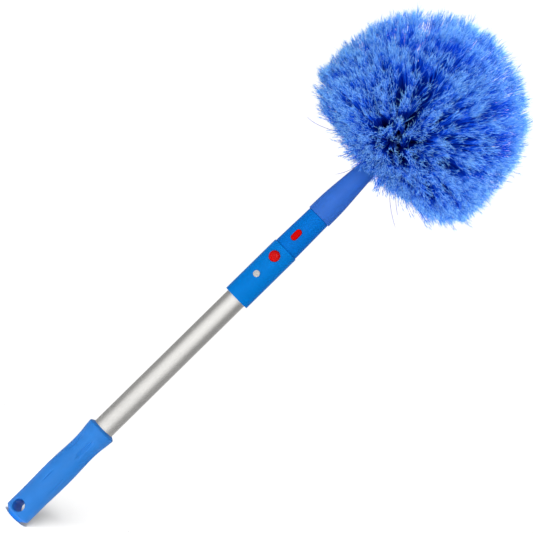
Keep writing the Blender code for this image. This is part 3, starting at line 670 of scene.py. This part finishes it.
BACK_RAGGED = 5.0            # how much more the filaments' lengths vary there than in the dome
CLUMP_LENGTH_SD = 0.015      # shares of the trimmed length, in the dome
SHORTER_SD = 0.026
CUT_SHORT = (0.12, 0.02, 0.14)      # (chance, least, most) of a filament that falls well short
GROWN_OUT = (0.06, 0.01, 0.06)      # the same for one that sticks out; all three grow with the raggedness
CLUMP_SPREAD = 0.092         # radians, of a tuft's clumps about its axis
FILAMENT_SPREAD = 0.027      # radians, of a clump's filaments about the clump
TINT_STRIPS = 32
SIDES = 3
STRAYS = (                   # (azimuth, then (radius, z) of root, bend and tip) of single bent filaments
    (-77.0, (13.0, 562.0), (11.0, 533.0), (21.0, 510.0)),
    (103.0, (16.0, 564.0), (38.0, 536.0), (68.0, 516.0)),
    (110.0, (18.0, 566.0), (44.0, 540.0), (60.0, 528.0)),
    (-70.0, (20.0, 568.0), (60.0, 540.0), (88.0, 532.0)),
)


def trim_distance(angles):
    """How far tips reach from the hub's centre, along rays at these angles from +Z: dome, side and back."""
    rise = DOME_CENTRE_Z - HUB_Z
    across, along = np.sin(angles), np.cos(angles)
    dome = rise * along + np.sqrt(np.maximum(TRIM_RADIUS**2 - (rise * across) ** 2, 0.0))
    radii, depths = np.array(BACK_PROFILE).T
    back_angles, back_reach = np.arctan2(radii, depths - HUB_Z), np.hypot(radii, depths - HUB_Z)
    reach = np.where(angles < math.atan2(TRIM_RADIUS, rise), dome, TRIM_RADIUS / np.maximum(across, 0.2))
    return np.where(angles > back_angles[0], np.interp(angles, back_angles, back_reach), reach)


def directions(angles, azimuths):
    across = np.sin(angles)
    return np.stack([across * np.sin(azimuths), -across * np.cos(azimuths), np.cos(angles)], axis=1)


def unit(vectors):
    return vectors / np.linalg.norm(vectors, axis=1)[:, None]


def ring_axes(ring):
    """The axes of the tufts on a ring of holes in the hub, at this angle from +Z."""
    angle = math.radians(ring)
    count = max(3, round(2 * math.pi * HUB_RADIUS * math.sin(angle) / TUFT_SPACING))
    turn = RANDOM.uniform(0, 2 * math.pi)
    azimuths = turn + np.arange(count) * 2 * math.pi / count + RANDOM.normal(0, 0.03, count)
    return directions(angle + RANDOM.normal(0, 0.022, count), azimuths)


def scattered(axes, spread):
    """Directions scattered about axes by a normal spread in radians."""
    return unit(axes + RANDOM.normal(0, spread, axes.shape))


def tip_points(ways, trim):
    """Where the tips of filaments that head these ways end, for each one's share of the trimmed length."""
    angles = np.minimum(np.arccos(np.clip(ways[:, 2], -1, 1)), STEEPEST_TIP)
    long_side = math.pi / 2 + VIEW_AZIMUTH
    lean = ways[:, 0] * math.sin(long_side) - ways[:, 1] * math.cos(long_side)
    reach = trim_distance(angles) * (1 + LOPSIDED * lean) * trim
    flat = unit(ways[:, :2])
    ways = np.column_stack([flat * np.sin(angles)[:, None], np.cos(angles)])
    return np.array([0.0, 0.0, HUB_Z]) + ways * reach[:, None]


def on_curve(roots, bends, tips, share):
    """Points a share of the way along quadratic curves."""
    return (1 - share) ** 2 * roots + 2 * share * (1 - share) * bends + share**2 * tips


def strands(roots, bends, tips, thick, thin, rings, tints, low_v, high_v):
    """Three-sided strands along quadratic curves, each closed at its root and pointed at its tip.

    Gives the vertices, the faces' corners and sizes, and the corners' UVs: U is the tint, and V runs from
    low_v at the root to high_v at the tip.
    """
    count = len(roots)
    shares = np.linspace(0, 1, rings + 1)[:-1]
    centres = on_curve(roots[:, None], bends[:, None], tips[:, None], shares[None, :, None])
    along = unit(tips - roots)
    helper = np.where(np.abs(along[:, 2:]) < 0.9, [[0.0, 0.0, 1.0]], [[1.0, 0.0, 0.0]])
    first = unit(np.cross(along, helper))
    second = np.cross(along, first)
    around = np.arange(SIDES) * 2 * math.pi / SIDES
    spokes = first[:, None, None] * np.cos(around)[:, None] + second[:, None, None] * np.sin(around)[:, None]
    radii = thick[:, None] + (thin - thick)[:, None] * shares
    walls = centres[:, :, None] + radii[:, :, None, None] * spokes
    verts = np.concatenate([walls.reshape(count, rings * SIDES, 3), tips[:, None]], axis=1)

    heights = low_v + (high_v - low_v) * np.linspace(0, 1, rings + 1)
    lanes = np.linspace(0, 0.7 / TINT_STRIPS, SIDES + 1)
    faces = [(2, 1, 0)]
    corners = [(lanes[lane], heights[0]) for lane in faces[0]]
    for ring in range(rings):
        for side in range(SIDES):
            a, b = ring * SIDES + side, ring * SIDES + (side + 1) % SIDES
            low, high = (lanes[side], heights[ring]), (lanes[side + 1], heights[ring])
            if ring == rings - 1:
                faces.append((a, b, rings * SIDES))
                corners += [low, high, ((lanes[side] + lanes[side + 1]) / 2, heights[-1])]
            else:
                faces.append((a, b, b + SIDES, a + SIDES))
                corners += [low, high, (lanes[side + 1], heights[ring + 1]), (lanes[side], heights[ring + 1])]
    loops = np.concatenate([np.array(face) for face in faces])
    loops = (loops + np.arange(count)[:, None] * (rings * SIDES + 1)).ravel()
    uvs = (np.array(corners) + np.column_stack([tints, np.zeros(count)])[:, None]).reshape(-1, 2)
    return verts.reshape(-1, 3), loops, np.tile([len(face) for face in faces], count), uvs


def strand_mesh(name, groups):
    """One mesh of all the groups of strands, with its UVs."""
    starts = np.cumsum([0] + [len(group[0]) for group in groups[:-1]])
    verts = np.concatenate([group[0] for group in groups])
    loops = np.concatenate([group[1] + start for group, start in zip(groups, starts)])
    sizes = np.concatenate([group[2] for group in groups])
    uvs = np.concatenate([group[3] for group in groups])
    mesh = bpy.data.meshes.new(name)
    mesh.vertices.add(len(verts))
    mesh.vertices.foreach_set("co", (verts * MM).astype(np.float32).ravel())
    mesh.loops.add(len(loops))
    mesh.loops.foreach_set("vertex_index", loops.astype(np.int32))
    mesh.polygons.add(len(sizes))
    mesh.polygons.foreach_set("loop_start", np.concatenate([[0], np.cumsum(sizes)[:-1]]).astype(np.int32))
    mesh.update(calc_edges=True)
    layer = mesh.uv_layers.new(name=BRISTLE_UV)
    layer.data.foreach_set("uv", uvs.astype(np.float32).ravel())
    mesh.shade_smooth()
    mesh.validate()
    return mesh


def add_flags(roots, bends, tips, tints):
    """The fine flags that split off the outer part of each filament."""
    parent = np.repeat(np.arange(len(roots)), FLAGS_PER_FILAMENT)
    count = len(parent)
    share = RANDOM.uniform(0.90, 0.98, count)[:, None]
    roots, bends, tips = roots[parent], bends[parent], tips[parent]
    forks = on_curve(roots, bends, tips, share)
    ways = unit(tips - bends) + RANDOM.normal(0, 0.24, (count, 3))
    lengths = np.linalg.norm(tips - forks, axis=1) * RANDOM.uniform(0.7, 1.1, count) + 1.5
    ends = forks + ways * lengths[:, None]
    thick, thin = RANDOM.uniform(0.16, 0.24, count), np.full(count, 0.1)
    tints = (tints[parent] + RANDOM.integers(0, 12, count) / TINT_STRIPS) % 1.0
    return strands(forks, (forks + ends) / 2, ends, thick, thin, 1, tints, 0.90, 1.0)


def ring_groups(ring):
    """Every filament of a ring of tufts, with its flags."""
    tufts = ring_axes(ring)
    clumps = np.repeat(np.arange(len(tufts)), CLUMPS_PER_TUFT)
    clump_ways = scattered(tufts[clumps], CLUMP_SPREAD)
    ragged = 1 + BACK_RAGGED * max(0.0, (ring - BACK_START) / BACK_DEPTH)
    clump_trim = RANDOM.normal(0, CLUMP_LENGTH_SD, len(clumps)) * ragged
    clump_tints = RANDOM.integers(0, TINT_STRIPS, len(clumps))
    of_clump = np.repeat(np.arange(len(clumps)), FILAMENTS_PER_CLUMP)
    count = len(of_clump)
    axes = tufts[clumps][of_clump]
    trim = 1 + clump_trim[of_clump] - np.abs(RANDOM.normal(0, SHORTER_SD, count)) * ragged
    chance, least, most = CUT_SHORT
    trim -= np.where(RANDOM.random(count) < chance, RANDOM.uniform(least, most, count), 0.0)
    chance, least, most = GROWN_OUT
    trim += np.where(RANDOM.random(count) < chance * ragged, RANDOM.uniform(least, most, count) * ragged, 0.0)
    roots = np.array([0.0, 0.0, HUB_Z]) + axes * (HUB_RADIUS + 0.4) + RANDOM.normal(0, 0.7, (count, 3))
    tips = tip_points(scattered(clump_ways[of_clump], FILAMENT_SPREAD), trim)
    lengths = np.linalg.norm(tips - roots, axis=1)[:, None]
    clump_bow = RANDOM.normal(0, 0.008, (len(clumps), 3))
    bow = clump_bow[of_clump] + RANDOM.normal(0, 0.010, (count, 3))
    bends = roots + axes * lengths * 0.5 + bow * lengths
    tints = ((clump_tints[of_clump] + RANDOM.integers(0, 6, count)) % TINT_STRIPS) / TINT_STRIPS
    thick, thin = RANDOM.uniform(0.24, 0.32, count), RANDOM.uniform(0.16, 0.22, count)
    shafts = strands(roots, bends, tips, thick, thin, 5, tints, 0.02, 0.98)
    return [shafts, add_flags(roots, bends, tips, tints)]


def stray_group():
    """A few long filaments that have bent out of the brush's back."""
    curves = []
    for azimuth, *path in STRAYS:
        angle = math.radians(azimuth)
        curves.append([(radius * math.sin(angle), -radius * math.cos(angle), z) for radius, z in path])
    roots, bends, tips = np.array(curves).transpose(1, 0, 2)
    bends = 2 * bends - (roots + tips) / 2
    count = len(curves)
    thick, thin = np.full(count, 0.3), np.full(count, 0.2)
    return strands(roots, bends, tips, thick, thin, 12, np.zeros(count), 0.3, 0.75)


def build_bristles():
    """Two rings of tufts to a row, and one more at the ferrule; each ring is a piece of its own."""
    material = filament_material()
    lit = bpy.data.collections.new("lit by the brush lights")
    for row in range(ROW_COUNT):
        node = f"tufts_row_{row}" if row else "tufts_crown"
        middle = row * ROW_PITCH
        rings = [middle - RING_OFFSET, middle + RING_OFFSET] if row else [CROWN_RING, RING_OFFSET]
        if row == ROW_COUNT - 1:
            rings.append(LAST_RING)
        for number, ring in enumerate(rings, 1):
            groups = ring_groups(ring)
            if ring == LAST_RING:
                groups.append(stray_group())
            name = f"bristles_{row}_{number}"
            piece = add_object(name, strand_mesh(name, groups))
            finish_piece(piece, material, "brush_head", "bristle", node)
            lit.objects.link(piece)
    return lit


def light_brush(bristles):
    for name, azimuth, elevation, power in BRUSH_LIGHTS:
        light = add_softbox(name, azimuth, elevation, 1.0, 0.7, power, target_z=0.64)
        light.light_linking.receiver_collection = bristles


# ---------------------------------------------------------------- inner pieces, in the CAD model's shapes

LEAF_WIDTH_SHARE = 0.36      # of the CAD leaf's width, so that the pressed leaf lies in the round stirrup


def paint_hidden_nodes(steel):
    acetal = moulded_plastic("acetal", ACETAL, 0.36, mottle=0.02)
    hub = moulded_plastic("hub plastic", HUB_BLUE, 0.5)
    looks = {"lock_stirrup": steel, "lock_pin": steel, "hub_screw": steel, "hub_washer": steel,
             "guide_bush": acetal, "inner_tube_foot": acetal, "bristle_hub": hub}
    for node, material in looks.items():
        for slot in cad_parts[node].material_slots:
            slot.material = material


def build_springs(steel):
    build_spring("lock_leaf", "lock_spring", "handle", steel,
                 width_share=LEAF_WIDTH_SHARE)
    build_spring("snap_clip", "latch_spring_clip", "inner_pole", steel)


def build_spring(name, node, body, material, width_share=1.0):
    """A strip spring of the CAD model's shape, narrowed across by width_share."""
    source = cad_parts[node]
    mesh = source.data.copy()
    mesh.transform(Matrix.Diagonal((width_share, 1.0, 1.0, 1.0)) @ source.matrix_world)
    spring = finish_piece(add_object(name, mesh), material, body, "spring_steel", node)
    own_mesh(spring)


# ---------------------------------------------------------------- studio

def add_camera():
    data = bpy.data.cameras.new("camera")
    data.sensor_width = SENSOR_MM
    data.lens = SENSOR_MM * VIEW_DISTANCE_M / VIEW_WIDTH_M
    data.clip_start = 0.05
    data.clip_end = 50.0
    back = Vector((math.sin(VIEW_AZIMUTH), -math.cos(VIEW_AZIMUTH), 0.0))
    level = Vector((math.cos(VIEW_AZIMUTH), math.sin(VIEW_AZIMUTH), 0.0))
    right = UP * math.cos(POLE_SLOPE) + level * math.sin(POLE_SLOPE)
    above = UP * math.sin(POLE_SLOPE) - level * math.cos(POLE_SLOPE)
    across, height = VIEW_CENTRE
    place = level * (across * MM) + UP * (height * MM) + back * VIEW_DISTANCE_M
    camera = bpy.data.objects.new("camera", data)
    camera.matrix_world = Matrix((right, above, back)).transposed().to_4x4()
    camera.matrix_world.translation = place
    bpy.context.scene.collection.objects.link(camera)
    bpy.context.scene.camera = camera


def toward(azimuth_deg, elevation_deg):
    """The way from the pole towards something at this azimuth and elevation."""
    azimuth, elevation = math.radians(azimuth_deg), math.radians(elevation_deg)
    return Vector((math.sin(azimuth) * math.cos(elevation), -math.cos(azimuth) * math.cos(elevation),
                   math.sin(elevation)))


def add_softbox(name, azimuth_deg, elevation_deg, distance, size, power, target_z):
    """A square softbox that faces the pole at target_z. Lengths are in metres."""
    data = bpy.data.lights.new(name, "AREA")
    data.shape = "RECTANGLE"
    data.size = size
    data.size_y = size
    data.energy = power
    way = toward(azimuth_deg, elevation_deg)
    light = bpy.data.objects.new(name, data)
    light.location = way * distance + UP * target_z
    light.rotation_euler = way.to_track_quat("Z", "Y").to_euler()
    bpy.context.scene.collection.objects.link(light)
    return light


WORLD_GLOW = (               # (cosine of the angle off the front, radiance) round the studio
    (-1.0, 0.62), (-0.85, 0.5), (-0.7, 0.34), (0.2, 0.30), (0.5, 0.6), (0.8, 1.0), (1.0, 1.08),
)
GLOW_CENTRE = (3.0, -12.0)   # azimuth and elevation of its brightest part, in degrees
BACKDROP = 1.3               # radiance that the camera sees behind the duster
FLOOR_RADIUS_M = 0.7
FLOOR_DROP_M = 0.0003        # below the butt, so that the two don't share a plane
PAPER_WHITE = 0.85
PAPER_MIRRORED = 0.45        # its white in glossy reflections, or the aluminium would burn out from above
FLOOR_LIGHT = 7.0
FLOOR_LIGHT_WAY = (7.0, 28.0)         # azimuth and elevation, in degrees
FLOOR_LIGHT_SPREAD = math.radians(11.0)


def add_world():
    """White where the camera sees it; as a light, bright in front, less so behind and dim at the sides."""
    world = bpy.data.worlds.new("studio")
    bpy.context.scene.world = world
    world.use_nodes = True
    tree = world.node_tree
    tree.nodes.clear()
    output = tree.nodes.new("ShaderNodeOutputWorld")
    white = tree.nodes.new("ShaderNodeBackground")
    white.inputs["Strength"].default_value = BACKDROP
    glow = tree.nodes.new("ShaderNodeBackground")
    seen = tree.nodes.new("ShaderNodeLightPath")
    mix = tree.nodes.new("ShaderNodeMixShader")
    coordinates = tree.nodes.new("ShaderNodeTexCoord")
    facing = tree.nodes.new("ShaderNodeVectorMath")
    facing.operation = "DOT_PRODUCT"
    facing.inputs[1].default_value = toward(*GLOW_CENTRE)
    share = tree.nodes.new("ShaderNodeMapRange")
    share.inputs["From Min"].default_value = -1.0
    ramp = tree.nodes.new("ShaderNodeValToRGB")
    brightest = max(radiance for _, radiance in WORLD_GLOW)
    while len(ramp.color_ramp.elements) < len(WORLD_GLOW):
        ramp.color_ramp.elements.new(0.5)
    for element, (cosine, radiance) in zip(ramp.color_ramp.elements, WORLD_GLOW):
        element.position = (cosine + 1) / 2
        element.color = (radiance / brightest, radiance / brightest, radiance / brightest, 1.0)
    glow.inputs["Strength"].default_value = brightest
    tree.links.new(coordinates.outputs["Generated"], facing.inputs[0])
    tree.links.new(facing.outputs["Value"], share.inputs["Value"])
    tree.links.new(share.outputs["Result"], ramp.inputs["Fac"])
    tree.links.new(ramp.outputs["Color"], glow.inputs["Color"])
    tree.links.new(seen.outputs["Is Camera Ray"], mix.inputs["Fac"])
    tree.links.new(glow.outputs[0], mix.inputs[1])
    tree.links.new(white.outputs[0], mix.inputs[2])
    tree.links.new(mix.outputs[0], output.inputs["Surface"])


def add_floor():
    """A disc of white paper under the butt, lit until it is as white as the ground behind it."""
    mesh = bpy.data.meshes.new("floor")
    shape = bmesh.new()
    bmesh.ops.create_circle(shape, cap_ends=True, segments=128, radius=FLOOR_RADIUS_M)
    shape.to_mesh(mesh)
    shape.free()
    paper = new_material("white paper", 0.9, specular=0.1)
    n = Nodes(paper)
    mirrored = n.add("LightPath").outputs["Is Glossy Ray"]
    n.link(n.span(mirrored, PAPER_WHITE, PAPER_MIRRORED, 0.0, 1.0), n.shader.inputs["Base Color"])
    mesh.materials.append(paper)
    floor = add_object("floor", mesh)
    floor.location.z = -FLOOR_DROP_M
    return floor


def add_studio():
    add_world()
    floor = add_floor()
    only_floor = bpy.data.collections.new("lit by the floor light")
    only_floor.objects.link(floor)
    sun = bpy.data.objects.new("floor light", bpy.data.lights.new("floor light", "SUN"))
    sun.data.energy = FLOOR_LIGHT
    sun.data.angle = FLOOR_LIGHT_SPREAD
    sun.rotation_euler = toward(*FLOOR_LIGHT_WAY).to_track_quat("Z", "Y").to_euler()
    bpy.context.scene.collection.objects.link(sun)
    sun.light_linking.receiver_collection = only_floor
    add_softbox("key", 3.0, 24.0, 1.8, 0.35, 4.0, target_z=0.4)
    view = bpy.context.scene.view_settings
    view.view_transform = "Standard"
    view.look = "None"


add_camera()
add_studio()
build_grip()
build_end_plug()
build_tubes()
build_collar()
build_rivet()
build_push_button()
build_adapter()
build_snap_button()
build_ferrule()
light_brush(build_bristles())
spring_steel = sheet_steel("spring steel")
paint_hidden_nodes(spring_steel)
build_springs(spring_steel)
